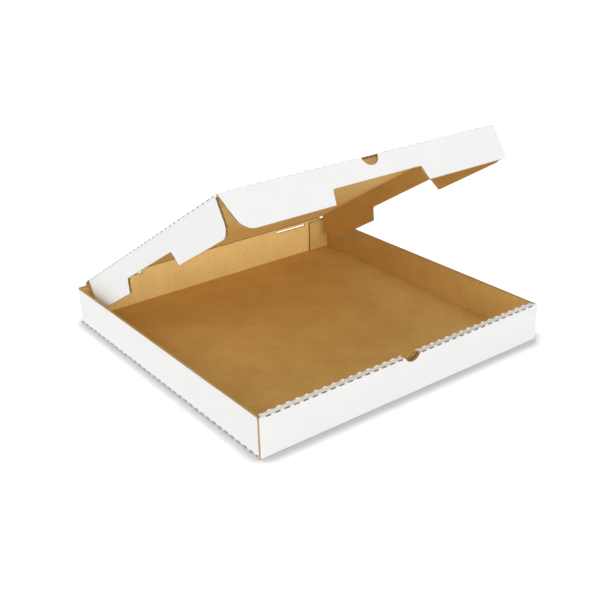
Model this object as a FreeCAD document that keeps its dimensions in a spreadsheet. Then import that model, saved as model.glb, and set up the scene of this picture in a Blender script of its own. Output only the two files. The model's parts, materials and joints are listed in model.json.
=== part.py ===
import FreeCAD, Part
import os
import Sketcher

# A folding pizza box of single-wall corrugated board, standing open on its base.
# X runs left to right, Y from the front wall to the back wall, Z up. The origin is the middle of
# the underside. Lengths are in millimetres and angles in degrees.

doc = FreeCAD.newDocument("pizza_box")
sheet = doc.addObject("Spreadsheet::Sheet", "sizes")

DRIVING = [
    ("box_width", 406.0, "outside of the tray, left to right"),
    ("box_depth", 406.0, "outside of the tray, front to back"),
    ("board", 3.0, "thickness of the corrugated board"),
    ("wall_height", 47.4, "outside height of the front wall"),
    ("side_drop", 0.4, "side walls end this far below the front wall"),
    ("fold_play", 0.3, "room between layers of board that are folded onto each other"),
    ("fold_radius", 1.5, "outer radius of a folded edge"),
    ("front_ear", 90.0, "length of the ears folded into the front wall"),
    ("rear_ear", 35.0, "length of the ears folded against the back wall"),
    ("slot_length", 52.0, "slots under the lid's crease, left to right"),
    ("slot_height", 3.0, "slots under the lid's crease, up"),
    ("slot_spread", 272.0, "between the middles of the two slots"),
    ("slot_drop", 7.5, "from the lid's crease down to the middle of a slot"),
    ("thumb_radius", 12.0, "thumb cut in the front wall, a circle about the ledge"),
    ("slit_pitch", 11.6, "spacing of the cuts along a perforated fold"),
    ("slit_length", 6.3, "length of one cut"),
    ("slit_depth", 1.5, "how far a cut opens on the outside of the fold"),
    ("lid_top_gap", 1.6, "between the closed lid and the front wall"),
    ("lid_side_gap", 10.0, "between the lid and the inside of a side wall"),
    ("lid_front_gap", 8.0, "between the closed lid's front fold and the front wall"),
    ("crease_play", 0.15, "half of the room left at a crease that moves"),
    ("lid_open", 31.3, "angle between the lid and its closed place"),
    ("flap_height", 42.0, "lid flaps, measured from the top of the lid"),
    ("flap_splay", 6.0, "the front flap leans out from square"),
    ("flap_rear_gap", 6.0, "between a side flap and the rear ear behind it"),
    ("flap_front_gap", 3.0, "between a side flap and the front flap"),
    ("side_notch", 130.0, "length of the notch in a side flap, at its top"),
    ("front_notch", 122.0, "length of the notch in the front flap, at its top"),
    ("notch_depth", 17.0, "height of the notches"),
    ("side_notch_flare", 8.0, "each end of a side notch leans out this much"),
    ("front_notch_flare", 4.0, "each end of the front notch leans out this much"),
    ("front_flap_inset", 1.0, "the front flap starts this far in from the lid's corners"),
    ("front_flap_taper", 13.0, "the front flap narrows this much at each end"),
    ("flap_corner", 14.0, "radius of the flaps' outer corners"),
    ("notch_corner", 2.5, "radius of the corners inside the notches"),
    ("flap_thumb_radius", 11.0, "half-round thumb cut at the front flap's fold"),
]
for row, (alias, value, meaning) in enumerate(DRIVING, 1):
    sheet.set(f"A{row}", meaning)
    sheet.set(f"B{row}", str(value))
    sheet.setAlias(f"B{row}", alias)
doc.recompute()

# Places worked out from the driving sizes, as expressions.
FRONT = "(-sizes.box_depth / 2)"
BACK = "(sizes.box_depth / 2)"
SIDE = "(sizes.box_width / 2)"
TOP = "sizes.wall_height"
SIDE_TOP = "(sizes.wall_height - sizes.side_drop)"
FRONT_WALL = "(3 * sizes.board + 2 * sizes.fold_play)"
LEDGE_WIDTH = "(sizes.box_width - 2 * (sizes.board + sizes.fold_play))"
EAR_FRONT = f"({FRONT} + sizes.board + sizes.fold_play)"
EAR_BACK = f"({BACK} - sizes.board - sizes.fold_play)"
HINGE = "(sizes.wall_height + sizes.lid_top_gap + sizes.board)"
LID_WIDTH = "(sizes.box_width - 2 * (sizes.board + sizes.lid_side_gap))"
LID_LENGTH = f"(sizes.box_depth - {FRONT_WALL} - sizes.lid_front_gap)"
FLAP_REAR = "(2 * sizes.board + sizes.fold_play + sizes.flap_rear_gap)"
FLAP_FRONT = f"({LID_LENGTH} - sizes.board - sizes.flap_front_gap)"
FLAP_TOP = "(sizes.board + 2 * sizes.crease_play)"


def number(text):
    """The plain number that an expression on the sheet stands for."""
    result = sheet.evalExpression(text)
    return float(getattr(result, "Value", result))


def origin_part(body, role):
    """One of a body's own base planes or axes."""
    return next(item for item in body.Origin.OriginFeatures if item.Role == role)


def sketch_on(body, name, role, lift="0"):
    """An empty sketch on a base plane, lifted along the plane's normal."""
    sketch = body.newObject("Sketcher::SketchObject", name)
    sketch.AttachmentSupport = (origin_part(body, role), [""])
    sketch.MapMode = "FlatFace"
    if lift != "0":
        sketch.setExpression(".AttachmentOffset.Base.z", lift)
    return sketch


def place_point(sketch, edge, end, across, up):
    """Ties one point of a sketch to two expressions, measured from the sketch's origin."""
    for kind, text, axis in (("DistanceX", across, -2), ("DistanceY", up, -1)):
        if text == "0":
            sketch.addConstraint(Sketcher.Constraint("PointOnObject", edge, end, axis))
            continue
        datum = sketch.addConstraint(Sketcher.Constraint(kind, -1, 1, edge, end, number(text)))
        sketch.setExpression(f"Constraints[{datum}]", text)


def polygon(body, name, role, corners, lift="0"):
    """A closed outline of straight lines whose corners are pairs of expressions."""
    sketch = sketch_on(body, name, role, lift)
    spots = [FreeCAD.Vector(number(across), number(up), 0) for across, up in corners]
    count = len(spots)
    for index in range(count):
        sketch.addGeometry(Part.LineSegment(spots[index], spots[(index + 1) % count]), False)
    for index in range(count):
        sketch.addConstraint(Sketcher.Constraint("Coincident", index, 2, (index + 1) % count, 1))
    for index, (across, up) in enumerate(corners):
        place_point(sketch, index, 1, across, up)
    return sketch


def rectangle(body, name, role, low, high, lift="0"):
    """A rectangle from its low corner to its high corner."""
    corners = [(low[0], low[1]), (high[0], low[1]), (high[0], high[1]), (low[0], high[1])]
    return polygon(body, name, role, corners, lift)


def circle(body, name, role, centre, radius, lift="0"):
    """A circle tied to its centre and radius."""
    sketch = sketch_on(body, name, role, lift)
    middle = FreeCAD.Vector(number(centre[0]), number(centre[1]), 0)
    sketch.addGeometry(Part.Circle(middle, FreeCAD.Vector(0, 0, 1), number(radius)), False)
    place_point(sketch, 0, 3, centre[0], centre[1])
    datum = sketch.addConstraint(Sketcher.Constraint("Radius", 0, number(radius)))
    sketch.setExpression(f"Constraints[{datum}]", radius)
    return sketch


def pad(body, sketch, length, symmetric=False, back=False):
    """Gives a sketch its thickness, along the plane's normal or back from it."""
    feature = body.newObject("PartDesign::Pad", sketch.Name + "_pad")
    feature.Profile = sketch
    feature.setExpression("Length", length)
    feature.Midplane = symmetric
    feature.Reversed = back
    doc.recompute()
    return feature


def pocket(body, sketch, length, symmetric=False, back=False):
    """Cuts a sketch out of the body, and stops if nothing was cut."""
    before = body.Shape.Volume
    feature = body.newObject("PartDesign::Pocket", sketch.Name + "_cut")
    feature.Profile = sketch
    feature.setExpression("Length", length)
    feature.Midplane = symmetric
    feature.Reversed = back
    doc.recompute()
    if not body.Shape.Volume < before:
        raise RuntimeError(sketch.Name + " cuts nothing")
    return feature


def mirror(body, name, originals):
    """The same features again on the other side of the middle plane."""
    feature = body.newObject("PartDesign::Mirrored", name)
    feature.Originals = originals
    feature.MirrorPlane = (origin_part(body, "YZ_Plane"), [""])
    body.Tip = feature
    doc.recompute()
    return feature


def repeat(body, name, original, role, length):
    """A row of cuts at the slit pitch along one axis, over the given length."""
    feature = body.newObject("PartDesign::LinearPattern", name)
    feature.Originals = [original]
    feature.Direction = (origin_part(body, role), [""])
    feature.Mode = "Spacing"
    feature.setExpression("Offset", "sizes.slit_pitch")
    feature.setExpression("Occurrences", f"floor({length} / sizes.slit_pitch)")
    body.Tip = feature
    doc.recompute()
    return feature


def slit_row(body, name, axis, low, high, length, middle="0"):
    """Cuts one slit at the low end of a fold along X or Y and repeats it over the fold's length."""
    half = f"((floor({length} / sizes.slit_pitch) - 1) * sizes.slit_pitch / 2)"
    if axis == "X_Axis":
        plane = "YZ_Plane"
        lift = f"({middle} - {half} + sizes.slit_length / 2)"
    else:
        plane = "XZ_Plane"
        lift = f"({half} + sizes.slit_length / 2 - {middle})"
    slit = pocket(body, rectangle(body, name, plane, low, high, lift), "sizes.slit_length")
    repeat(body, name + "_row", slit, axis, length)


def round_edges(body, name, radius, wanted):
    """Rounds the edges that the test picks by their two ends."""
    base = body.Tip
    names = []
    for index, edge in enumerate(base.Shape.Edges, 1):
        ends = [vertex.Point for vertex in edge.Vertexes]
        if len(ends) == 2 and wanted(ends[0], ends[1]):
            names.append(f"Edge{index}")
    if not names:
        raise RuntimeError(name + " finds no edge")
    feature = body.newObject("PartDesign::Fillet", name)
    feature.Base = (base, names)
    feature.setExpression("Radius", radius)
    doc.recompute()
    return feature


def near(value, text):
    """True where a coordinate is at the place an expression gives."""
    return abs(value - number(text)) < 0.01


def new_body(label):
    body = doc.addObject("PartDesign::Body", label)
    body.Label = label
    return body


def make_tray():
    """The floor, the four walls and the ears: one folded sheet."""
    body = new_body("tray")
    inner_front = f"({FRONT} + sizes.board)"
    inner_back = f"({BACK} - sizes.board)"
    wall_inside = f"({FRONT} + {FRONT_WALL})"

    # Front panel, floor and back wall, seen from the side.
    section = polygon(body, "sheet_section", "YZ_Plane", [
        (FRONT, "0"), (BACK, "0"), (BACK, SIDE_TOP), (inner_back, SIDE_TOP),
        (inner_back, "sizes.board"), (inner_front, "sizes.board"), (inner_front, TOP), (FRONT, TOP)])
    pad(body, section, "sizes.box_width", symmetric=True)

    # The front wall rolls over into a ledge and an inner panel that stands on the floor.
    under = f"({TOP} - sizes.board)"
    foot = "(sizes.board + sizes.fold_play)"
    inner_face = f"({wall_inside} - sizes.board)"
    section = polygon(body, "roll_over_section", "YZ_Plane", [
        (FRONT, under), (inner_face, under), (inner_face, foot), (wall_inside, foot),
        (wall_inside, TOP), (FRONT, TOP)])
    pad(body, section, LEDGE_WIDTH, symmetric=True)

    # The back wall rises to the lid's crease, mitred so that the lid can close on it.
    section = polygon(body, "crease_section", "YZ_Plane", [
        (inner_back, "sizes.board"), (BACK, "sizes.board"), (BACK, f"({HINGE} - sizes.crease_play)"),
        (inner_back, f"({HINGE} - sizes.board - sizes.crease_play)")])
    pad(body, section, LID_WIDTH, symmetric=True)

    # Left wall with its two ears, then the same on the right.
    wall = rectangle(body, "side_wall", "XY_Plane", (f"(-{SIDE})", EAR_FRONT),
                     (f"(-{SIDE} + sizes.board)", EAR_BACK))
    wall = pad(body, wall, SIDE_TOP)
    ear = rectangle(body, "front_ear_plan", "XY_Plane", (f"(-{SIDE})", EAR_FRONT),
                    (f"(-{SIDE} + sizes.front_ear)", f"({EAR_FRONT} + sizes.board)"), foot)
    front_ear = pad(body, ear, f"({TOP} - 2 * sizes.board - 2 * sizes.fold_play)")
    ear = rectangle(body, "rear_ear_plan", "XY_Plane", (f"(-{SIDE})", f"({EAR_BACK} - sizes.board)"),
                    (f"(-{SIDE} + sizes.rear_ear)", EAR_BACK), foot)
    rear_ear = pad(body, ear, f"({SIDE_TOP} - {foot})")
    mirror(body, "right_wall_and_ears", [wall, front_ear, rear_ear])

    # Folds have a round outside.
    def side_fold(a, b):
        low = abs(a.z) < 0.01 and abs(b.z) < 0.01
        return low and near(abs(a.x), SIDE) and near(abs(b.x), SIDE) and abs(a.y - b.y) > 10

    def end_fold(a, b):
        low = abs(a.z) < 0.01 and abs(b.z) < 0.01
        return low and near(abs(a.y), BACK) and near(abs(b.y), BACK) and abs(a.x - b.x) > 10

    def ledge_fold(a, b):
        high = near(a.z, TOP) and near(b.z, TOP) and abs(a.x - b.x) > 10
        return high and any(near(a.y, fold) and near(b.y, fold) for fold in (FRONT, wall_inside))

    round_edges(body, "bottom_side_folds", "sizes.fold_radius", side_fold)
    round_edges(body, "bottom_end_folds", "sizes.fold_radius", end_fold)
    round_edges(body, "ledge_folds", "sizes.fold_radius", ledge_fold)

    # Thumb cut: through both panels of the front wall and the ledge between them.
    above = f"({TOP} + {FRONT_WALL} / 2)"
    cut = circle(body, "thumb_panels", "XZ_Plane", ("0", above), "sizes.thumb_radius", f"(-{FRONT})")
    pocket(body, cut, FRONT_WALL)
    cut = circle(body, "thumb_ledge", "XY_Plane", ("0", f"({FRONT} + {FRONT_WALL} / 2)"),
                 "sizes.thumb_radius", TOP)
    pocket(body, cut, "sizes.board")

    # Two slots in the back wall under the crease.
    reach = "sizes.slot_length / 2"
    rise = "sizes.slot_height / 2"
    middle = f"({HINGE} - sizes.slot_drop)"
    cut = rectangle(body, "crease_slot", "XZ_Plane",
                    (f"(-sizes.slot_spread / 2 - {reach})", f"({middle} - {rise})"),
                    (f"(-sizes.slot_spread / 2 + {reach})", f"({middle} + {rise})"), f"(-{BACK})")
    slot = pocket(body, cut, "sizes.board", back=True)
    mirror(body, "right_slot", [slot])

    # The perforated folds: cuts that open on the outside, along the ledge and under the side walls.
    depth = "sizes.slit_depth"
    slit_row(body, "outer_ledge_slit", "X_Axis", (FRONT, f"({TOP} - {depth})"),
             (f"({FRONT} + {depth})", TOP), LEDGE_WIDTH)
    slit_row(body, "inner_ledge_slit", "X_Axis", (f"({wall_inside} - {depth})", f"({TOP} - {depth})"),
             (wall_inside, TOP), LEDGE_WIDTH)
    slit_row(body, "left_bottom_slit", "Y_Axis", (f"(-{SIDE})", "0"), (f"(-{SIDE} + {depth})", depth),
             "sizes.box_depth")
    slit_row(body, "right_bottom_slit", "Y_Axis", (f"({SIDE} - {depth})", "0"), (SIDE, depth),
             "sizes.box_depth")
    return body


def lie_on_lid(body):
    """Places a body that was drawn on the closed lid, with its origin at the crease."""
    body.Placement.Rotation = FreeCAD.Rotation(FreeCAD.Vector(-1, 0, 0), number("sizes.lid_open"))
    body.setExpression(".Placement.Rotation.Angle", "sizes.lid_open")
    body.setExpression(".Placement.Base.y", BACK)
    body.setExpression(".Placement.Base.z", HINGE)


def make_lid_panel():
    """The flat top of the lid, mitred at the crease and at the front flap's fold."""
    body = new_body("lid_panel")
    play = "sizes.crease_play"
    section = polygon(body, "lid_section", "YZ_Plane", [
        (f"(-{play})", "0"), (f"(-{LID_LENGTH} + {play})", "0"),
        (f"(-{LID_LENGTH} + {play} + sizes.board)", "(-sizes.board)"),
        (f"(-{play} - sizes.board)", "(-sizes.board)")])
    pad(body, section, LID_WIDTH, symmetric=True)
    half = f"({LID_WIDTH} / 2)"
    depth = "sizes.slit_depth"
    middle = f"(-{LID_LENGTH} / 2)"
    slit_row(body, "left_fold_slit", "Y_Axis", (f"(-{half})", f"(-{depth})"),
             (f"(-{half} + {depth})", "0"), LID_LENGTH, middle)
    slit_row(body, "right_fold_slit", "Y_Axis", (f"({half} - {depth})", f"(-{depth})"),
             (half, "0"), LID_LENGTH, middle)
    lie_on_lid(body)
    return body


def make_side_flap(label, hand):
    """A lid flap that hangs inside a side wall. hand is -1 on the left and 1 on the right."""
    body = new_body(label)
    foot = "(-sizes.flap_height)"
    roof = "(-sizes.flap_height + sizes.notch_depth)"
    middle = f"(-{LID_LENGTH} / 2)"
    reach = "sizes.side_notch / 2"
    flare = "sizes.side_notch_flare"
    rear = f"(-{FLAP_REAR})"
    front = f"(-{FLAP_FRONT})"
    outline = polygon(body, label + "_outline", "YZ_Plane", [
        (rear, f"(-{FLAP_TOP})"), (front, f"(-{FLAP_TOP})"), (front, foot),
        (f"({middle} - {reach} - {flare})", foot), (f"({middle} - {reach})", roof),
        (f"({middle} + {reach})", roof), (f"({middle} + {reach} + {flare})", foot), (rear, foot)],
        f"({hand} * {LID_WIDTH} / 2)")
    pad(body, outline, "sizes.board", back=hand > 0)

    def outer_corner(a, b):
        along_x = abs(a.y - b.y) < 0.01 and abs(a.z - b.z) < 0.01
        return along_x and near(a.z, foot) and (near(a.y, rear) or near(a.y, front))

    def notch_corner(a, b):
        along_x = abs(a.y - b.y) < 0.01 and abs(a.z - b.z) < 0.01
        return along_x and near(a.z, roof)

    round_edges(body, label + "_corners", "sizes.flap_corner", outer_corner)
    round_edges(body, label + "_notch_corners", "sizes.notch_corner", notch_corner)
    lie_on_lid(body)
    return body


def make_front_flap():
    """The lid's front flap, with its origin at its own fold."""
    body = new_body("lid_front_flap")
    end = f"({LID_WIDTH} / 2 - sizes.front_flap_inset)"
    top = "(-sizes.crease_play)"
    foot = "(-sizes.flap_height)"
    roof = "(-sizes.flap_height + sizes.notch_depth)"
    low_end = f"({end} - sizes.front_flap_taper)"
    reach = "(sizes.front_notch / 2)"
    notch_end = f"({reach} + sizes.front_notch_flare)"
    outline = polygon(body, "front_flap_outline", "XZ_Plane", [
        (f"(-{end})", top), (f"(-{low_end})", foot), (f"(-{notch_end})", foot),
        (f"(-{reach})", roof), (reach, roof), (notch_end, foot), (low_end, foot), (end, top)])
    pad(body, outline, "sizes.board", back=True)

    def outer_corner(a, b):
        along_y = abs(a.x - b.x) < 0.01 and abs(a.z - b.z) < 0.01
        return along_y and near(a.z, foot) and near(abs(a.x), low_end)

    def notch_corner(a, b):
        along_y = abs(a.x - b.x) < 0.01 and abs(a.z - b.z) < 0.01
        return along_y and near(a.z, roof)

    round_edges(body, "front_flap_corners", "sizes.flap_corner", outer_corner)
    round_edges(body, "front_flap_notch_corners", "sizes.notch_corner", notch_corner)
    mitre = polygon(body, "front_flap_mitre", "YZ_Plane", [
        ("0", top), ("sizes.board", top), ("sizes.board", f"({top} - sizes.board)")])
    pocket(body, mitre, LID_WIDTH, symmetric=True)
    thumb = circle(body, "front_flap_thumb", "XZ_Plane", ("0", top), "sizes.flap_thumb_radius")
    pocket(body, thumb, "sizes.board")
    turn = "(sizes.lid_open + sizes.flap_splay)"
    body.Placement.Rotation = FreeCAD.Rotation(FreeCAD.Vector(-1, 0, 0), number(turn))
    body.setExpression(".Placement.Rotation.Angle", turn)
    body.setExpression(".Placement.Base.y", f"{BACK} - {LID_LENGTH} * cos(sizes.lid_open)")
    body.setExpression(".Placement.Base.z", f"{HINGE} + {LID_LENGTH} * sin(sizes.lid_open)")
    return body


def check(bodies):
    """Stops unless every object is sound and every sub-part is one valid solid."""
    for item in doc.Objects:
        if "Invalid" in item.State or "Error" in item.State:
            raise RuntimeError(f"{item.Name} failed: {item.State}")
    for body in bodies:
        shape = body.Shape
        if shape.isNull() or not shape.isValid() or len(shape.Solids) != 1:
            raise RuntimeError(body.Label + " isn't one valid solid")


PIECES = [
    make_tray(),
    make_lid_panel(),
    make_front_flap(),
    make_side_flap("lid_left_flap", -1),
    make_side_flap("lid_right_flap", 1),
]
doc.recompute()
check(PIECES)
os.makedirs("parts", exist_ok=True)
for piece in PIECES:
    piece.Shape.exportStep(f"parts/{piece.Label}.step")
    box = piece.Shape.BoundBox
    print(f"{piece.Label}: {piece.Shape.Volume / 1000:.1f} cm3, x {box.XMin:.1f} to {box.XMax:.1f}, "
          f"y {box.YMin:.1f} to {box.YMax:.1f}, z {box.ZMin:.1f} to {box.ZMax:.1f}")
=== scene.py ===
# %% [markdown]
# A folding pizza box is one sheet of corrugated board: a white paper liner outside, a brown kraft liner
# inside, and a wavy sheet between them. This lesson builds each panel of the box from those three
# layers, so that every cut edge shows real flutes, and then joins the panels at their folds.
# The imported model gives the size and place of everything, so it is loaded first.

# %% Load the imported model
import json
import math
import bmesh
import bpy
from mathutils import Matrix, Vector


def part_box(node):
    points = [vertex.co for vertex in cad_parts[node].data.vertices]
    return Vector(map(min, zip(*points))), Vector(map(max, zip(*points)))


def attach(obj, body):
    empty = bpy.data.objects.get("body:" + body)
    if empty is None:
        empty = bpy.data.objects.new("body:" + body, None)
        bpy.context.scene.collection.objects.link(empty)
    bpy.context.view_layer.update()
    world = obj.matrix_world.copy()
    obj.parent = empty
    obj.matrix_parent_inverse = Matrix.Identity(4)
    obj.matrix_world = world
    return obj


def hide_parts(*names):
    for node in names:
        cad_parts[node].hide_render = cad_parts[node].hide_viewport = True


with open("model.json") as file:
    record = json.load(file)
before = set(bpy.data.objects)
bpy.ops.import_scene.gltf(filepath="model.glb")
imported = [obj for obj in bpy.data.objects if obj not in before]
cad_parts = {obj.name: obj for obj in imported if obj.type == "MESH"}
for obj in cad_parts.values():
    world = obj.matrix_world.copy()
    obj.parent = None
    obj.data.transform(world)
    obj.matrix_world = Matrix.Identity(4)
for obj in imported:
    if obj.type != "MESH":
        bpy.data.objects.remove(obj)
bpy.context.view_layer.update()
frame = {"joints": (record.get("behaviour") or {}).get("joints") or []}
bpy.ops.object.select_all(action="DESELECT")

# %% [markdown]
# The tray's box, the lid's crease and the front flap's fold come from the frame, so that what is drawn
# here fits the model's hinges. Lengths are in metres, and are written as so many millimetres.

# %% Sizes from the frame
MM = 0.001
joints = {joint["name"]: joint for joint in frame["joints"]}
crease = Vector(joints["lid_crease"]["pos_m"])
front_fold = Vector(joints["front_flap_fold"]["pos_m"])
lid_open = -math.radians(joints["lid_crease"]["range_deg"][0])
splay = -math.radians(joints["front_flap_fold"]["range_deg"][0])
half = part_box("tray")[1].x
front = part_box("tray")[0].y
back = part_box("tray")[1].y
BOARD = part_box("lid_left_flap")[1].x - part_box("lid_left_flap")[0].x
lid_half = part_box("lid_panel")[1].x
lid_length = (front_fold - crease).length
print(f"tray {2 * half:.3f} m wide, board {BOARD / MM:.1f} mm, lid {lid_length:.3f} m long")

# %% [markdown]
# A few sizes that the frame can't say are shared by most panels: the height of the walls, the play
# between two layers of board, and the radius of a plain fold. Three layers make the front wall.

# %% Shared sizes
WALL = 47.4 * MM
SIDE_WALL = 47.0 * MM
PLAY = 0.3 * MM
FRONT_WALL = 3 * BOARD + 2 * PLAY
FOLD = 1.5 * MM
NEAR = 0.01 * MM
print(f"walls {WALL / MM:.1f} mm high, front wall {FRONT_WALL / MM:.1f} mm thick")

# %% [markdown]
# The same few operators come back all through the lesson: select one object, apply a modifier, pick
# points by their place, cut one shape with another, join shapes. They are wrapped once here.

# %% Small helpers around the operators
def only(obj):
    """Selects one object and makes it active."""
    bpy.ops.object.select_all(action="DESELECT")
    obj.select_set(True)
    bpy.context.view_layer.objects.active = obj


def modify(obj, kind, **settings):
    """Adds a modifier and applies it at once."""
    only(obj)
    modifier = obj.modifiers.new(kind.title(), kind)
    for key, value in settings.items():
        setattr(modifier, key, value)
    bpy.ops.object.modifier_apply(modifier=modifier.name)


def pick(obj, wanted):
    """In edit mode, selects the points whose place passes a test."""
    mesh = bmesh.from_edit_mesh(obj.data)
    for vert in mesh.verts:
        vert.select_set(wanted(vert.co))
    mesh.select_flush_mode()
    bmesh.update_edit_mesh(obj.data)


def cut(obj, tool, operation="DIFFERENCE"):
    """Cuts an object with a tool, which is used up. A cut through a finished board is raw."""
    if obj.data.materials:
        for material in obj.data.materials:
            tool.data.materials.append(material)
        for face in tool.data.polygons:
            face.material_index = RAW_FACE
    modify(obj, "BOOLEAN", object=tool, operation=operation, solver="EXACT")
    bpy.data.objects.remove(tool)


def join(name, objects):
    """Joins objects into one of the given name."""
    only(objects[0])
    for obj in objects:
        obj.select_set(True)
    if len(objects) > 1:
        bpy.ops.object.join()
    objects[0].name = name
    return objects[0]


# %% [markdown]
# Shader maths reads best as arithmetic, so a small class wraps a socket and overloads the operators
# that are used. An expression on such values adds its own Math nodes.

# %% Arithmetic on sockets
class Socket:
    """A node's output that can be used in arithmetic."""

    def __init__(self, tree, link):
        self.tree = tree
        self.link = link

    def maths(self, operation, *values):
        return self.tree.node("ShaderNodeMath", {"operation": operation}, dict(enumerate(values)))

    def __add__(self, other):
        return self.maths("ADD", self, other)

    def __radd__(self, other):
        return self.maths("ADD", other, self)

    def __sub__(self, other):
        return self.maths("SUBTRACT", self, other)

    def __rsub__(self, other):
        return self.maths("SUBTRACT", other, self)

    def __mul__(self, other):
        return self.maths("MULTIPLY", self, other)

    def __rmul__(self, other):
        return self.maths("MULTIPLY", other, self)

    def sine(self):
        return self.maths("SINE", self)


# %% [markdown]
# Every other node comes from one method, which takes the node's type, its settings and the values or
# links of its sockets. The few nodes that come back often get a short name of their own. The same
# class serves the materials and the world.

# %% Nodes
class Nodes:
    """The nodes of a material or of the world, made by one method."""

    def __init__(self, owner):
        owner.use_nodes = True
        self.owner = owner
        self.nodes = owner.node_tree.nodes
        self.links = owner.node_tree.links

    def node(self, kind, settings, inputs, output=0):
        """Makes a node, sets it up, fills its sockets and returns one output."""
        made = self.nodes.new(kind)
        for key, value in settings.items():
            if key == "stops":
                for stop, (place, colour) in zip(self.ramp_stops(made, len(value)), value):
                    stop.position = place
                    stop.color = (*colour, 1)
            else:
                setattr(made, key, value)
        for key, value in inputs.items():
            self.fill(made.inputs[key], value)
        return Socket(self, made.outputs[output])

    @staticmethod
    def ramp_stops(made, count):
        elements = made.color_ramp.elements
        while len(elements) < count:
            elements.new(0.5)
        return elements

    def fill(self, socket, value):
        """Links a socket, or sets its own value."""
        if isinstance(value, Socket):
            self.links.new(value.link, socket)
        else:
            socket.default_value = value

    def set_up(self, name, inputs):
        """Fills the sockets of a node that is already there."""
        for key, value in inputs.items():
            self.fill(self.nodes[name].inputs[key], value)

    def noise(self, vector, scale, detail, roughness):
        """Grey noise between 0 and 1."""
        inputs = {"Vector": vector, "Scale": scale, "Detail": detail, "Roughness": roughness}
        return self.node("ShaderNodeTexNoise", {}, inputs)

    def stretch(self, vector, scale):
        """The vector with each of its parts scaled."""
        return self.node("ShaderNodeMapping", {}, {"Vector": vector, "Scale": scale})

    def ramp(self, factor, stops):
        """A colour for each factor, from stops of a place and a colour."""
        return self.node("ShaderNodeValToRGB", {"stops": stops}, {0: factor})

    def mix(self, factor, one, other):
        """Mixes two colours."""
        inputs = {0: factor, 6: one, 7: other}
        return self.node("ShaderNodeMix", {"data_type": "RGBA"}, inputs, 2)

    def bump(self, height, distance, strength):
        """A bump whose height runs from 0 to 1 over the given distance in metres."""
        inputs = {"Height": height, "Distance": distance, "Strength": strength}
        return self.node("ShaderNodeBump", {}, inputs)

    def object_place(self):
        return self.node("ShaderNodeTexCoord", {}, {}, 3)

    def board_place(self):
        return self.node("ShaderNodeUVMap", {"uv_map": "board"}, {})


def solid(colour):
    """A colour as a socket takes it."""
    return (*colour, 1.0)


# %% [markdown]
# White liner is bleached paper pasted over the flutes. It is matt, slightly cloudy, and the flutes
# press a faint washboard through it. The board's own UV map runs across the flutes, so the same
# material fits every panel. The washboard is a sine of that coordinate.

# %% White liner
FLUTE = 6.48 * MM
WHITE = (0.81, 0.81, 0.805)
WHITE_CLOUD = (0.775, 0.775, 0.77)


def washboard(made):
    """Ridges of the flutes showing through a liner, from 0 to 1."""
    across = made.node("ShaderNodeSeparateXYZ", {}, {0: made.board_place()})
    return (across * (2 * math.pi / FLUTE)).sine() * 0.5 + 0.5


def white_liner():
    made = Nodes(bpy.data.materials.new("white_liner"))
    place = made.object_place()
    cloud = made.noise(place, scale=55.0, detail=4.0, roughness=0.6)
    fibre = made.noise(place, scale=1800.0, detail=2.0, roughness=0.6)
    height = washboard(made) * 0.55 + fibre * 0.25 + cloud * 0.2
    made.set_up("Principled BSDF", {
        "Base Color": made.mix(cloud, solid(WHITE), solid(WHITE_CLOUD)),
        "Roughness": 0.5 + fibre * 0.15,
        "Normal": made.bump(height, distance=0.05 * MM, strength=0.6)})
    return made.owner


# %% [markdown]
# Kraft liner is unbleached paper: brown and cloudy, with streaks and dark flecks that run with the
# sheet. A flat brown would look like plastic, so two noises on the board's UV map are stretched into
# streaks and flecks. The same recipe takes three tones. A second, paler copy of it is painted light
# for the panels that the lamps light more fully than the floor and side walls.

# %% Kraft liner
KRAFT = (0.655, 0.415, 0.135)
KRAFT_LIGHT = (0.745, 0.485, 0.17)
KRAFT_DARK = (0.565, 0.34, 0.105)
# A paler copy of the kraft tones, painted light for the panels that the lamps light more fully.
LIT_KRAFT = (0.81, 0.58, 0.225)
LIT_KRAFT_LIGHT = (0.88, 0.65, 0.27)
LIT_KRAFT_DARK = (0.73, 0.50, 0.18)
STREAKS = (170.0, 480.0, 1.0)
FLECKS = (420.0, 2600.0, 1.0)


def kraft_liner(name, dark_tone, middle_tone, light_tone):
    made = Nodes(bpy.data.materials.new(name))
    sheet = made.board_place()
    cloud = made.noise(made.object_place(), scale=22.0, detail=6.0, roughness=0.65)
    streak = made.noise(made.stretch(sheet, STREAKS), scale=1.0, detail=5.0, roughness=0.65)
    fleck = made.noise(made.stretch(sheet, FLECKS), scale=1.0, detail=2.0, roughness=0.5)
    tones = [(0.25, dark_tone), (0.5, middle_tone), (0.78, light_tone)]
    tone = made.ramp(cloud * 0.8 + streak * 0.9 - 0.35, tones)
    dark = made.ramp(fleck, [(0.66, (0, 0, 0)), (0.74, (1, 1, 1))])
    height = washboard(made) * 0.5 + streak * 0.35 + cloud * 0.15
    made.set_up("Principled BSDF", {
        "Base Color": made.mix(dark * 0.35, tone, solid(dark_tone)),
        "Roughness": 0.62 + streak * 0.2,
        "Specular IOR Level": 0.2,
        "Normal": made.bump(height, distance=0.06 * MM, strength=0.7)})
    return made.owner


# %% [markdown]
# A cut edge shows the torn fibres of all three layers, rougher and greyer than the liner. One fine
# noise does for its colour, its roughness and its relief. The four finishes stand in one list, so
# that a face's material number says what it is.

# %% Raw edges, and the list of finishes
CUT = (0.50, 0.33, 0.13)
CUT_LIGHT = (0.62, 0.43, 0.18)


def raw_board():
    made = Nodes(bpy.data.materials.new("raw_board"))
    grain = made.noise(made.object_place(), scale=900.0, detail=4.0, roughness=0.7)
    made.set_up("Principled BSDF", {
        "Base Color": made.mix(grain, solid(CUT), solid(CUT_LIGHT)),
        "Roughness": 0.75 + grain * 0.2,
        "Specular IOR Level": 0.2,
        "Normal": made.bump(grain, distance=0.1 * MM, strength=1.0)})
    return made.owner


# The last finish is the paler kraft copy, painted light.
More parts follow.
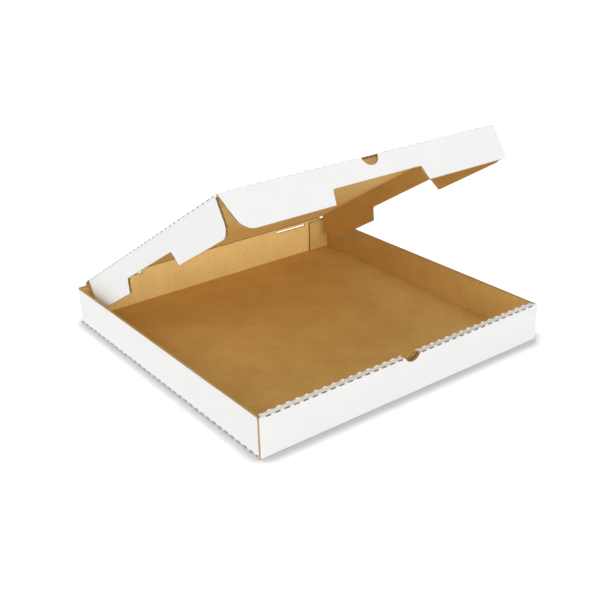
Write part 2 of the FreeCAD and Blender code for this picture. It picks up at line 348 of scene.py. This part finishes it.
FINISHES = [white_liner(), kraft_liner("kraft_liner", KRAFT_DARK, KRAFT, KRAFT_LIGHT), raw_board(),
            kraft_liner("pale_kraft_liner", LIT_KRAFT_DARK, LIT_KRAFT, LIT_KRAFT_LIGHT)]
WHITE_FACE, KRAFT_FACE, RAW_FACE, LIT_KRAFT_FACE = range(len(FINISHES))
print("finishes: " + ", ".join(material.name for material in FINISHES))

# %% [markdown]
# A panel's outline is drawn flat, x across the flutes and y along them, with the white face at z = 0.
# A circle of as many points as the outline has corners is pulled to those corners, its corners are
# rounded with a vertex bevel, and the face is extruded. It is quicker than cutting a cube to shape.

# %% A block with any outline
ROUND_STEPS = 8


def prism(corners, low, high, rounds=()):
    """A straight block over an outline. rounds lists pairs of a radius and the corners it rounds."""
    bpy.ops.mesh.primitive_circle_add(vertices=len(corners), fill_type="NGON")
    made = bpy.context.object
    for vert, (x, y) in zip(made.data.vertices, corners):
        vert.co = (x, y, low)
    bpy.ops.object.mode_set(mode="EDIT")
    for radius, indexes in rounds:
        places = [Vector((*corners[index], low)) for index in indexes]
        pick(made, lambda co: any((co - place).length < NEAR for place in places))
        bpy.ops.mesh.bevel(offset=radius, affect="VERTICES", segments=ROUND_STEPS)
    bpy.ops.mesh.select_all(action="SELECT")
    bpy.ops.mesh.extrude_region_move(TRANSFORM_OT_translate={"value": (0, 0, high - low)})
    bpy.ops.mesh.select_all(action="SELECT")
    bpy.ops.mesh.normals_make_consistent(inside=False)
    bpy.ops.object.mode_set(mode="OBJECT")
    return made


def rectangle(x0, x1, y0, y1):
    """The corners of a rectangle."""
    return [(x0, y0), (x1, y0), (x1, y1), (x0, y1)]


# %% [markdown]
# The wavy sheet is one flute, drawn by extruding the edge of a strip along a cosine. An Array modifier
# repeats it across the board and Solidify gives the paper its thickness. Its crests stay a hair off
# the liners, because faces that lie in each other would upset the cuts.

# %% The wavy sheet
LINER = 0.3 * MM
MEDIUM = 0.25 * MM
CREST_PLAY = 0.03 * MM
STEPS = 10


def wavy_sheet(x0, x1, y0, y1):
    """Flutes that run along y and cover a rectangle."""
    swing = (BOARD - 2 * LINER - MEDIUM) / 2 - CREST_PLAY
    step = FLUTE / STEPS
    level = [swing * math.cos(2 * math.pi * index / STEPS) for index in range(STEPS + 1)]
    bpy.ops.mesh.primitive_plane_add(size=1)
    made = bpy.context.object
    for vert in made.data.vertices:
        side = vert.co.x > 0
        vert.co = (side * step, y1 if vert.co.y > 0 else y0, level[side])
    bpy.ops.object.mode_set(mode="EDIT")
    for index in range(1, STEPS):
        pick(made, lambda co: co.x > (index - 0.5) * step)
        rise = level[index + 1] - level[index]
        bpy.ops.mesh.extrude_region_move(TRANSFORM_OT_translate={"value": (step, 0, rise)})
    bpy.ops.object.mode_set(mode="OBJECT")
    start = math.floor(x0 / FLUTE) * FLUTE
    made.data.transform(Matrix.Translation((start, 0, -BOARD / 2)))
    modify(made, "ARRAY", count=math.ceil((x1 - start) / FLUTE), use_relative_offset=False,
           use_constant_offset=True, constant_offset_displace=(FLUTE, 0, 0),
           use_merge_vertices=True, merge_threshold=NEAR)
    modify(made, "SOLIDIFY", thickness=MEDIUM, offset=0)
    return made


# %% [markdown]
# The finish of a face follows from where it lies: on a flat board the top is white, the underside
# kraft and all else a raw cut. The UV map named board is written from x and y while the board still
# lies flat, so that it stays with the panel when it is folded up.

# %% Finishes of a flat board
FACING = 0.9


def finish_faces(obj, inside=KRAFT_FACE):
    """Gives each face of a flat board its finish, and the board its UV map."""
    for material in FINISHES:
        obj.data.materials.append(material)
    layer = obj.data.uv_layers.new(name="board")
    for face in obj.data.polygons:
        face.material_index = RAW_FACE
        if face.normal.z > FACING and face.center.z > -NEAR:
            face.material_index = WHITE_FACE
        if face.normal.z < -FACING and face.center.z < -BOARD + NEAR:
            face.material_index = inside
        for loop in face.loop_indices:
            place = obj.data.vertices[obj.data.loops[loop].vertex_index].co
            layer.data[loop].uv = (place.x, place.y)


# %% [markdown]
# A board is two thin liners and the wavy sheet trimmed to the same outline. It is drawn and cut flat,
# as the real one is by its die, and only then turned to its place in the box.

# %% Boards
def board(corners, rounds=(), tools=(), inside=KRAFT_FACE):
    """A flat piece of corrugated board with its white face at z = 0."""
    xs = [x for x, y in corners]
    ys = [y for x, y in corners]
    core = wavy_sheet(min(xs), max(xs), min(ys) - BOARD, max(ys) + BOARD)
    cut(core, prism(corners, -BOARD, 0, rounds), "INTERSECT")
    layers = [prism(corners, -LINER, 0, rounds), prism(corners, -BOARD, -BOARD + LINER, rounds), core]
    made = join("board", layers)
    made.data.materials.clear()
    for tool in tools:
        cut(made, tool)
    finish_faces(made, inside)
    return made


def fold_up(obj, origin, across, along):
    """Places a flat board: its x runs along `across`, its y along `along`, its white face outwards."""
    across, along = Vector(across), Vector(along)
    turn = Matrix((across, along, across.cross(along))).transposed().to_4x4()
    obj.data.transform(Matrix.Translation(origin) @ turn)
    return obj


X, Y, Z = Vector((1, 0, 0)), Vector((0, 1, 0)), Vector((0, 0, 1))

# %% [markdown]
# At a fold the white liner bends round the corner. A narrow strip swept a quarter turn with Spin makes
# it. Most folds of this box are perforated: the board is cut and left whole by turns, and only short
# bridges bend. A bridge's strip is drawn lower towards its ends, and an Array modifier repeats it
# along the fold.

# %% Bends
SLIT_PITCH = 11.6 * MM
SLIT = 6.3 * MM
BRIDGE_STEPS = 6
BEND_STEPS = 6
CORE_RADIUS = 0.05 * MM
QUARTER = math.radians(90)


def bend(length, radius, droop=0.0, steps=1, count=1, bulge=0.0, tight=2):
    """White quarter-rounds about the y axis, from +x to +z, centred in a row along y.

    A circle has tight=2, and a higher number pulls the bend into its corner.
    """
    bpy.ops.mesh.primitive_grid_add(x_subdivisions=1, y_subdivisions=steps, size=1)
    made = bpy.context.object
    start = -(count - 1) * SLIT_PITCH / 2
    for vert in made.data.vertices:
        outer = radius * (1 - droop * abs(2 * vert.co.y) ** 3)
        vert.co = (outer if vert.co.x > 0 else CORE_RADIUS, start + vert.co.y * length, 0)
    bpy.ops.object.mode_set(mode="EDIT")
    bpy.ops.mesh.select_all(action="SELECT")
    bpy.ops.mesh.spin(steps=BEND_STEPS, angle=QUARTER, center=(0, 0, 0), axis=(0, 1, 0))
    bpy.ops.mesh.select_all(action="SELECT")
    bpy.ops.mesh.remove_doubles(threshold=0.001 * MM)
    bpy.ops.mesh.normals_make_consistent(inside=False)
    bpy.ops.transform.resize(value=(1 + bulge, 1, 1), center_override=(0, 0, 0))
    bpy.ops.object.mode_set(mode="OBJECT")
    for vert in made.data.vertices:
        reach = math.hypot(vert.co.x, vert.co.z)
        square = (abs(vert.co.x / reach) ** tight + abs(vert.co.z / reach) ** tight) ** (-1 / tight)
        vert.co = (vert.co.x * square, vert.co.y, vert.co.z * square)
    if count > 1:
        modify(made, "ARRAY", count=count, use_relative_offset=False, use_constant_offset=True,
               constant_offset_displace=(0, SLIT_PITCH, 0))
    return made


# %% [markdown]
# The outside of a bend is white liner. Its ends show the raw board, except where the sheet's white
# face can be seen past them. Which way a face looks from the fold's axis tells one from the other.

# %% Finish of a bend
OUTER_SIDE = 0.15


def finish_bend(obj, edges=RAW_FACE):
    """The outside of a bend is white. Its edges are raw, unless a finish is given for them."""
    for material in FINISHES:
        obj.data.materials.append(material)
    layer = obj.data.uv_layers.new(name="board")
    for face in obj.data.polygons:
        outwards = Vector((face.center.x, 0, face.center.z)).normalized()
        face.material_index = WHITE_FACE if face.normal.dot(outwards) > OUTER_SIDE else edges
        for loop in face.loop_indices:
            place = obj.data.vertices[obj.data.loops[loop].vertex_index].co
            layer.data[loop].uv = (math.atan2(place.z, place.x) * FOLD, place.y)
    return obj


# %% [markdown]
# A perforated fold is a row of such bridges between the slits. What is left of the fold's length at
# its two ends has no slit, so a plain bend fills it.

# %% Perforated folds
DROOP = 0.35


def perforated(length, slits, radius, bulge=0.0, edges=RAW_FACE, tight=2):
    """The whole parts of a fold with a row of centred slits."""
    parts = [bend(SLIT_PITCH - SLIT, radius, DROOP, BRIDGE_STEPS, slits - 1, bulge, tight)]
    rest = length / 2 - ((slits - 1) * SLIT_PITCH + SLIT) / 2
    if rest > MM:
        for side in (-1, 1):
            end = bend(rest, radius, tight=tight)
            end.data.transform(Matrix.Translation((0, side * (length - rest) / 2, 0)))
            parts.append(end)
    return finish_bend(join("bridges", parts), edges)


# %% [markdown]
# Round cuts and slots go right through a flat board. A cylinder or a block that is thicker than the
# board does each, and a Boolean takes it away.

# %% Cutting tools
ROUND_POINTS = 64


def round_tool(radius, x, y):
    """A cylinder through a flat board."""
    bpy.ops.mesh.primitive_cylinder_add(vertices=ROUND_POINTS, radius=radius, depth=4 * BOARD)
    made = bpy.context.object
    made.data.transform(Matrix.Translation((x, y, -BOARD / 2)))
    return made


def box_tool(x0, x1, y0, y1):
    """A block through a flat board."""
    return prism(rectangle(x0, x1, y0, y1), -2 * BOARD, BOARD)


# %% [markdown]
# The floor and the front wall are full width. The front wall rolls over: up the front, across a ledge
# and down inside, so its white face also shows inside the tray. A thumb cut goes through all three
# layers, as one circle about the middle of the ledge. The ledge tapers a little at its ends.

# %% Floor and front wall
THUMB = 12 * MM
SIDE_FOLD = 2.8 * MM
OUTER_FOLD = 1.1 * MM
INNER_FOLD = 2.6 * MM
inner_front = front + FRONT_WALL
ledge_half = half - BOARD - PLAY
ledge_end = ledge_half - 1.5 * MM
above = WALL + FRONT_WALL / 2
floor_half = half - SIDE_FOLD
floor = board(rectangle(-floor_half, floor_half, front + FOLD, back - FOLD))
floor = fold_up(floor, (0, 0, 0), X, -Y)
outline = rectangle(-half, half, FOLD, WALL - OUTER_FOLD)
panel = fold_up(board(outline, tools=[round_tool(THUMB, 0, above)]), (0, front, 0), X, Z)
outline = [(-half + OUTER_FOLD, OUTER_FOLD), (half - OUTER_FOLD, OUTER_FOLD), (ledge_half, BOARD + PLAY),
           (ledge_end, FRONT_WALL - INNER_FOLD), (-ledge_end, FRONT_WALL - INNER_FOLD),
           (-ledge_half, BOARD + PLAY)]
ledge = board(outline, tools=[round_tool(THUMB, 0, FRONT_WALL / 2)])
ledge = fold_up(ledge, (0, front, WALL), X, Y)
inner = board(rectangle(-ledge_end, ledge_end, BOARD + PLAY, WALL - INNER_FOLD),
              tools=[round_tool(THUMB, 0, above)])
inner = fold_up(inner, (0, inner_front, 0), -X, Z)
tray_parts = [floor, panel, ledge, inner]
print(f"floor {2 * floor_half / MM:.1f} mm wide, ledge {2 * ledge_half / MM:.1f} mm")

# %% [markdown]
# Both folds of the ledge are perforated. On the inner one the bridges stand up as a row of white
# teeth, so its bend is rounder and bulges more. The thumb cut's circle also runs through both rows.

# %% Folds along the front wall
WALL_SLITS = 34
INNER_BULGE = 0.42
row = perforated(2 * half, WALL_SLITS, OUTER_FOLD)
fold_up(row, (0, front + OUTER_FOLD, WALL - OUTER_FOLD), -Y, X)
tray_parts.append(row)
row = perforated(2 * ledge_end, WALL_SLITS, INNER_FOLD, INNER_BULGE, WHITE_FACE)
fold_up(row, (0, inner_front - INNER_FOLD, WALL - INNER_FOLD), Z, X)
tray_parts.append(row)
for row in tray_parts[-2:]:
    tool = round_tool(THUMB, 0, 0)
    tool.data.transform(Matrix.Translation((0, front + FRONT_WALL / 2, WALL)))
    cut(row, tool)
print(f"two rows of {WALL_SLITS} slits, {SLIT_PITCH / MM:.1f} mm apart")

# %% [markdown]
# At the crease the real board is creased, not cut, and there the lid and the back wall share one
# corner. Each edge is cut at 45 degrees about it, so that they meet when the lid is shut. A turned
# block makes that cut, and the white liner stays white up to its very edge.

# %% Mitred edges
MITRE = math.radians(45)
SQUARE = 0.1


def mitred(obj, y, outwards):
    """Cuts a flat board's edge at 45 degrees. outwards tells which side of y the waste is on."""
    bpy.ops.mesh.primitive_cube_add(size=1)
    tool = bpy.context.object
    tool.data.transform(Matrix.Diagonal((1, 4 * BOARD, 4 * BOARD, 1)))
    tool.data.transform(Matrix.Translation((0, 2 * BOARD, 0)))
    tool.data.transform(Matrix.Rotation(-MITRE, 4, "X"))
    if not outwards:
        tool.data.transform(Matrix.Rotation(math.radians(180), 4, "Z"))
    tool.data.transform(Matrix.Translation((0, y, 0)))
    cut(obj, tool)
    for face in obj.data.polygons:
        slanted = max(abs(face.normal.y), abs(face.normal.z)) < FACING and abs(face.normal.x) < SQUARE
        if slanted and face.center.z > -LINER:
            face.material_index = WHITE_FACE


# %% [markdown]
# The back wall stands between the side walls and rises in its middle to the lid's crease, where its
# edge is mitred. Two slots run through it. Its inside is the paler kraft, painted light, because the
# lamps light it more fully than the floor.

# %% Back wall
CREASE_PLAY = 0.15 * MM
BACK_SHORT = 2.4 * MM
SLOT = (52 * MM, 3 * MM)
SLOT_MIDDLE = (136 * MM, crease.z - 7.5 * MM)
rise = crease.z - CREASE_PLAY
back_end = half - BACK_SHORT
slots = [box_tool(side * SLOT_MIDDLE[0] - SLOT[0] / 2, side * SLOT_MIDDLE[0] + SLOT[0] / 2,
                  SLOT_MIDDLE[1] - SLOT[1] / 2, SLOT_MIDDLE[1] + SLOT[1] / 2) for side in (-1, 1)]
outline = [(-back_end, FOLD), (back_end, FOLD), (back_end, SIDE_WALL), (lid_half, SIDE_WALL),
           (lid_half, rise), (-lid_half, rise), (-lid_half, SIDE_WALL), (-back_end, SIDE_WALL)]
wall = board(outline, tools=slots, inside=LIT_KRAFT_FACE)
mitred(wall, rise, True)
tray_parts.append(fold_up(wall, (0, back, 0), -X, Z))
print(f"back wall {2 * back_end / MM:.1f} mm wide, its middle {rise / MM:.1f} mm high")

# %% [markdown]
# The side walls are flaps of the floor, and each ends in two ears. The front ear lies between the
# layers of the front wall, and the rear ear against the back wall. The four corners are plain bends,
# and the front one stops under the ledge, so a tab of the wall closes the corner above it.

# %% Side walls and their ears
FRONT_EAR = 90 * MM
REAR_EAR = 35 * MM
CORNER_FOOT = 0.2 * MM
wall_end = back - BOARD - PLAY
straight = wall_end - FOLD
ear_top = WALL - BOARD - PLAY
for side in (-1, 1):
    outline = [(SIDE_FOLD, -straight), (SIDE_FOLD, straight), (ear_top, straight), (ear_top, wall_end),
               (SIDE_WALL, wall_end), (SIDE_WALL, -straight)]
    wall = board([(z, side * y) for z, y in outline])
    tray_parts.append(fold_up(wall, (side * half, 0, 0), Z, -side * Y))
    for end, reach, top, outwards in ((-1, FRONT_EAR, ear_top, -X), (1, REAR_EAR, SIDE_WALL, X)):
        ys = sorted(side * outwards.x * x for x in (half - FOLD, half - reach))
        ear = board(rectangle(BOARD + PLAY, top, *ys))
        tray_parts.append(fold_up(ear, (0, end * wall_end, 0), Z, outwards))
        corner = finish_bend(bend(top - CORNER_FOOT, FOLD))
        place = (side * (half - FOLD), end * straight, (top + CORNER_FOOT) / 2)
        tray_parts.append(fold_up(corner, place, side * X, -side * end * Z))
print(f"side walls {2 * straight / MM:.1f} mm long, front ears {FRONT_EAR / MM:.0f} mm")

# %% [markdown]
# The folds at the front and back of the floor are plain bends. Those at its sides are perforated, and
# their bridges come out nearly square, which gives the small teeth along the bottom of the side walls.

# %% Folds round the floor
FLOOR_SLITS = 35
for end in (-1, 1):
    row = finish_bend(bend(2 * (half - (end > 0) * BACK_SHORT), FOLD))
    tray_parts.append(fold_up(row, (0, end * (back - FOLD), FOLD), -Z, -end * X))
for side in (-1, 1):
    row = perforated(2 * straight, FLOOR_SLITS, SIDE_FOLD, tight=5)
    tray_parts.append(fold_up(row, (side * floor_half, 0, SIDE_FOLD), -Z, side * Y))
print(f"floor folded on all four sides, {FLOOR_SLITS} slits on each side wall")

# %% [markdown]
# In the crease itself only the white liner is left whole. A thin white rod between the two mitres is
# that bent liner at every angle of the lid, because a rod looks the same however it is turned. Then
# everything that is folded from the tray's part of the sheet becomes one piece.

# %% The crease, and the tray in one piece
ROD = 0.45 * MM
ROD_POINTS = 12
ROD_INSET = 0.05 * MM
bpy.ops.mesh.primitive_cylinder_add(vertices=ROD_POINTS, radius=ROD, depth=2 * lid_half)
rod = bpy.context.object
rod.data.transform(Matrix.Rotation(QUARTER, 4, "Y"))
rod.data.transform(Matrix.Translation((0, crease.y - ROD - ROD_INSET, crease.z - ROD)))
rod.data.materials.append(FINISHES[WHITE_FACE])
tray_parts.append(rod)
tray = join("tray_sheet", tray_parts)
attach(tray, "tray")
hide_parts("tray")
print(f"tray of {len(tray_parts)} panels and folds, {len(tray.data.polygons)} faces")

# %% [markdown]
# The lid is drawn as if it were closed, with its origin at the crease, and is then swung open about it.
# Its sides are perforated folds, with a strip of board below each that carries the flap. At the front
# it ends in a mitre, as the back wall does.

# %% Lid
FRONT_PLAY = 0.3 * MM
FLAP_REAR = 12.3 * MM
SIDE_HINGE = 3.05 * MM
LID_SLITS = 33


def on_lid(obj):
    """Swings what was drawn on the closed lid to where the lid stands."""
    obj.data.transform(Matrix.Translation(crease) @ Matrix.Rotation(-lid_open, 4, "X"))
    return obj


fold_at = lid_half - FOLD
lid_front = lid_length - FRONT_PLAY
outline = [(-fold_at, -lid_front), (fold_at, -lid_front), (fold_at, -FLAP_REAR), (lid_half, -FLAP_REAR),
           (lid_half, -CREASE_PLAY), (-lid_half, -CREASE_PLAY), (-lid_half, -FLAP_REAR),
           (-fold_at, -FLAP_REAR)]
# The lid's underside gets the paler kraft, painted light where the lamps light it more fully.
panel = board(outline, inside=LIT_KRAFT_FACE)
mitred(panel, -CREASE_PLAY, True)
mitred(panel, -lid_front, False)
lid_parts = [panel]
for side in (-1, 1):
    row = perforated(lid_length - 2 * FRONT_PLAY, LID_SLITS, FOLD)
    lid_parts.append(fold_up(row, (side * fold_at, -lid_length / 2, -FOLD), side * X, side * Y))
    ys = sorted((-side * FLAP_REAR, -side * lid_front))
    edge = prism(rectangle(0, SIDE_HINGE - FOLD, *ys), -FOLD, 0)
    finish_faces(edge)
    lid_parts.append(fold_up(edge, (side * lid_half, 0, -FOLD), -Z, side * Y))
print(f"lid {2 * lid_half / MM:.0f} mm wide, open {math.degrees(lid_open):.1f} degrees")

# %% [markdown]
# The bridges of the front fold bulge above the lid, and make the scalloped line along its edge. Each
# is a short rod with rounded ends, sunk into the board just behind the fold line. None are left over
# the half-round thumb cut.

# %% Bridges of the front fold
FRONT_BRIDGES = 31
BRIDGE_ROD = 1.2 * MM
BRIDGE_POINTS = 16
BRIDGE_ROUND = 0.6 * MM
BRIDGE_BEHIND = 2 * MM
BRIDGE_HEIGHT = -0.35 * MM
THUMB_CLEAR = 1.3 * SLIT_PITCH
first = -(FRONT_BRIDGES - 1) * SLIT_PITCH / 2
bpy.ops.mesh.primitive_cylinder_add(vertices=BRIDGE_POINTS, radius=BRIDGE_ROD, depth=SLIT_PITCH - SLIT)
rod = bpy.context.object
bpy.ops.object.mode_set(mode="EDIT")
bpy.ops.mesh.select_all(action="SELECT")
bpy.ops.mesh.bevel(offset=BRIDGE_ROUND, segments=3, affect="EDGES")
bpy.ops.object.mode_set(mode="OBJECT")
rod.data.transform(Matrix.Rotation(QUARTER, 4, "Y"))
rod.data.transform(Matrix.Translation((first, -lid_length + BRIDGE_BEHIND, BRIDGE_HEIGHT)))
modify(rod, "ARRAY", count=FRONT_BRIDGES, use_relative_offset=False, use_constant_offset=True,
       constant_offset_displace=(SLIT_PITCH, 0, 0))
bpy.ops.object.mode_set(mode="EDIT")
pick(rod, lambda co: abs(co.x) < THUMB_CLEAR)
bpy.ops.mesh.delete(type="VERT")
bpy.ops.object.mode_set(mode="OBJECT")
rod.data.materials.append(FINISHES[WHITE_FACE])
lid_parts.append(rod)
lid = on_lid(join("lid_sheet", lid_parts))
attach(lid, "lid")
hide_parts("lid_panel")
print(f"lid of {len(lid_parts)} parts, {len(lid.data.polygons)} faces")

# %% [markdown]
# The side flaps hang inside the side walls and turn about the lid's inner corner. Each has large round
# corners and a wide notch. The two are the same outline, drawn once for each hand.

# %% Side flaps
FLAP = 42 * MM
FLAP_FRONT = lid_length - 3.4 * MM
FLAP_CORNER = 14 * MM
NOTCH = 17 * MM
NOTCH_HALF = 65 * MM
NOTCH_FLARE = 8 * MM
NOTCH_CORNER = 2.5 * MM
roof = -FLAP + NOTCH
middle = lid_length / 2
for name, side in (("left", -1), ("right", 1)):
    corners = [(-SIDE_HINGE, FLAP_REAR), (-SIDE_HINGE, FLAP_FRONT), (-FLAP, FLAP_FRONT),
               (-FLAP, middle + NOTCH_HALF + NOTCH_FLARE), (roof, middle + NOTCH_HALF),
               (roof, middle - NOTCH_HALF), (-FLAP, middle - NOTCH_HALF - NOTCH_FLARE),
               (-FLAP, FLAP_REAR)]
    flap = board([(z, side * v) for z, v in corners],
                 [(FLAP_CORNER, (2, 7)), (NOTCH_CORNER, (4, 5))])
    on_lid(fold_up(flap, (side * lid_half, 0, 0), Z, -side * Y))
    flap.name = f"{name}_flap_sheet"
    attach(flap, f"{name}_flap")
    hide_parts(f"lid_{name}_flap")
    print(f"{flap.name}: {len(flap.data.polygons)} faces")

# %% [markdown]
# The front flap has a notch of its own and a half-round thumb cut at its fold. It tapers to a large
# round corner on the left, and is nearly square on the right, as the photograph shows it.

# %% Front flap
FLAP_THUMB = 11 * MM
LEFT_TAPER = 13 * MM
RIGHT_TAPER = 2 * MM
FRONT_NOTCH_HALF = 61 * MM
FRONT_NOTCH_FLARE = 4 * MM
flap_end = lid_half - MM
foot = FRONT_NOTCH_HALF + FRONT_NOTCH_FLARE
corners = [(-flap_end, -FRONT_PLAY), (-flap_end + LEFT_TAPER, -FLAP), (-foot, -FLAP),
           (-FRONT_NOTCH_HALF, roof), (FRONT_NOTCH_HALF, roof), (foot, -FLAP),
           (flap_end - RIGHT_TAPER, -FLAP), (flap_end, -FRONT_PLAY)]
# The flap's inside gets the paler kraft, painted light where the lamps light it more fully.
flap = board(corners, [(FLAP_CORNER, (1,)), (FLAP_CORNER / 2, (6,)), (NOTCH_CORNER, (3, 4))],
             [round_tool(FLAP_THUMB, 0, -CREASE_PLAY)], LIT_KRAFT_FACE)
mitred(flap, -FRONT_PLAY, True)
fold_up(flap, (0, 0, 0), X, Z)
flap.data.transform(Matrix.Translation(front_fold) @ Matrix.Rotation(-lid_open - splay, 4, "X"))
flap.name = "front_flap_sheet"
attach(flap, "front_flap")
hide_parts("lid_front_flap")
print(f"{flap.name}: {len(flap.data.polygons)} faces")

# %% [markdown]
# The box stands on a plain white floor. The floor's material adds a little of its own light for the
# camera only, so that it ends in the white of the background and still shows the box's shadow. Soft
# lamps leave that shadow faint, so Ambient Occlusion darkens the floor a finger's width round the box.

# %% Floor of the studio
STUDIO = (0.82, 0.82, 0.82)
STUDIO_SHADE = (0.66, 0.66, 0.665)
GLOW = (0.42, 0.42, 0.42)
BLACK = (0, 0, 0)
SHADE_WIDTH = 20 * MM
bpy.ops.mesh.primitive_circle_add(vertices=64, radius=6, fill_type="NGON", location=(0, 0, -0.2 * MM))
studio = bpy.context.object
studio.name = "studio_floor"
made = Nodes(bpy.data.materials.new("studio_floor"))
seen = made.node("ShaderNodeLightPath", {}, {}, 0)
open_sky = made.node("ShaderNodeAmbientOcclusion", {"samples": 16}, {"Distance": SHADE_WIDTH}, 1)
shade = (1 - open_sky) * 3.0 * seen
made.set_up("Principled BSDF", {
    "Base Color": made.mix(shade, solid(STUDIO), solid(STUDIO_SHADE)),
    "Roughness": 0.9,
    "Specular IOR Level": 0.1,
    "Emission Color": made.mix(seen * (1 - shade), solid(BLACK), solid(GLOW)),
    "Emission Strength": 1.0})
studio.data.materials.append(made.owner)
print(f"floor shaded {SHADE_WIDTH / MM:.0f} mm round the box")

# %% [markdown]
# The world is a pale sky that fills the shadows. The camera sees it as plain white, as behind the box
# in the photograph. A brighter sky would do that too, but it would wash out the box, so the light that
# reaches the box stays dimmer.

# %% World
PAPER_WHITE = (1.0, 1.0, 1.0)
world = bpy.data.worlds.new("studio")
bpy.context.scene.world = world
sky = Nodes(world)
sky.set_up("Background", {"Color": solid(PAPER_WHITE), "Strength": 0.3})
around = Socket(sky, sky.nodes["Background"].outputs[0])
behind = sky.node("ShaderNodeBackground", {}, {"Color": solid(PAPER_WHITE), "Strength": 1.0})
seen = sky.node("ShaderNodeLightPath", {}, {}, 0)
mixed = sky.node("ShaderNodeMixShader", {}, {0: seen, 1: around, 2: behind})
sky.set_up("World Output", {"Surface": mixed})
print("sky lit")

# %% [markdown]
# Four wide sun lamps light the box softly from the front, the left, above and behind. Their strengths
# were found by rendering the box under each lamp alone and solving for the tones of the photograph.

# %% Lamps
def direction(azimuth, elevation):
    """The way to a lamp or camera. Azimuth 0 is in front of the box and -90 on its left."""
    azimuth, elevation = math.radians(azimuth), math.radians(elevation)
    return Vector((math.sin(azimuth) * math.cos(elevation), -math.cos(azimuth) * math.cos(elevation),
                   math.sin(elevation)))


LAMPS = (("front_lamp", -8, 8, 30, 0.65), ("left_lamp", -95, 25, 50, 0.42),
         ("top_lamp", 0, 85, 110, 0.2), ("back_lamp", 180, 40, 70, 0.35))
for name, azimuth, elevation, softness, strength in LAMPS:
    data = bpy.data.lights.new(name, "SUN")
    data.angle = math.radians(softness)
    data.energy = math.pi * strength
    obj = bpy.data.objects.new(name, data)
    obj.rotation_euler = direction(azimuth, elevation).to_track_quat("Z", "Y").to_euler()
    bpy.context.collection.objects.link(obj)
    print(f"{name}: strength {strength}")

# %% [markdown]
# The camera stands where the photographer stood: in front, to the left and a little above, turned a
# degree and a half about its own axis. Its focal length is in pixels of a picture 600 pixels wide.

# %% Camera
ROLL = math.radians(-1.54)
DISTANCE = 1.132
FOCAL_PIXELS = 950.04
PICTURE = 600
target = Vector((-0.0237, -0.03267, 0.06))
backwards = direction(-36.53, 24.85)
right = Z.cross(backwards).normalized()
rolled = right * math.cos(ROLL) + backwards.cross(right) * math.sin(ROLL)
data = bpy.data.cameras.new("camera")
data.sensor_width = 36
data.lens = data.sensor_width * FOCAL_PIXELS / PICTURE
camera = bpy.data.objects.new("camera", data)
bpy.context.collection.objects.link(camera)
camera.matrix_world = Matrix.Translation(target + backwards * DISTANCE) @ Matrix(
    (rolled, backwards.cross(rolled), backwards)).transposed().to_4x4()
bpy.context.scene.camera = camera
bpy.context.scene.view_settings.view_transform = "Standard"
print(f"camera {DISTANCE} m away, lens {data.lens:.1f} mm")
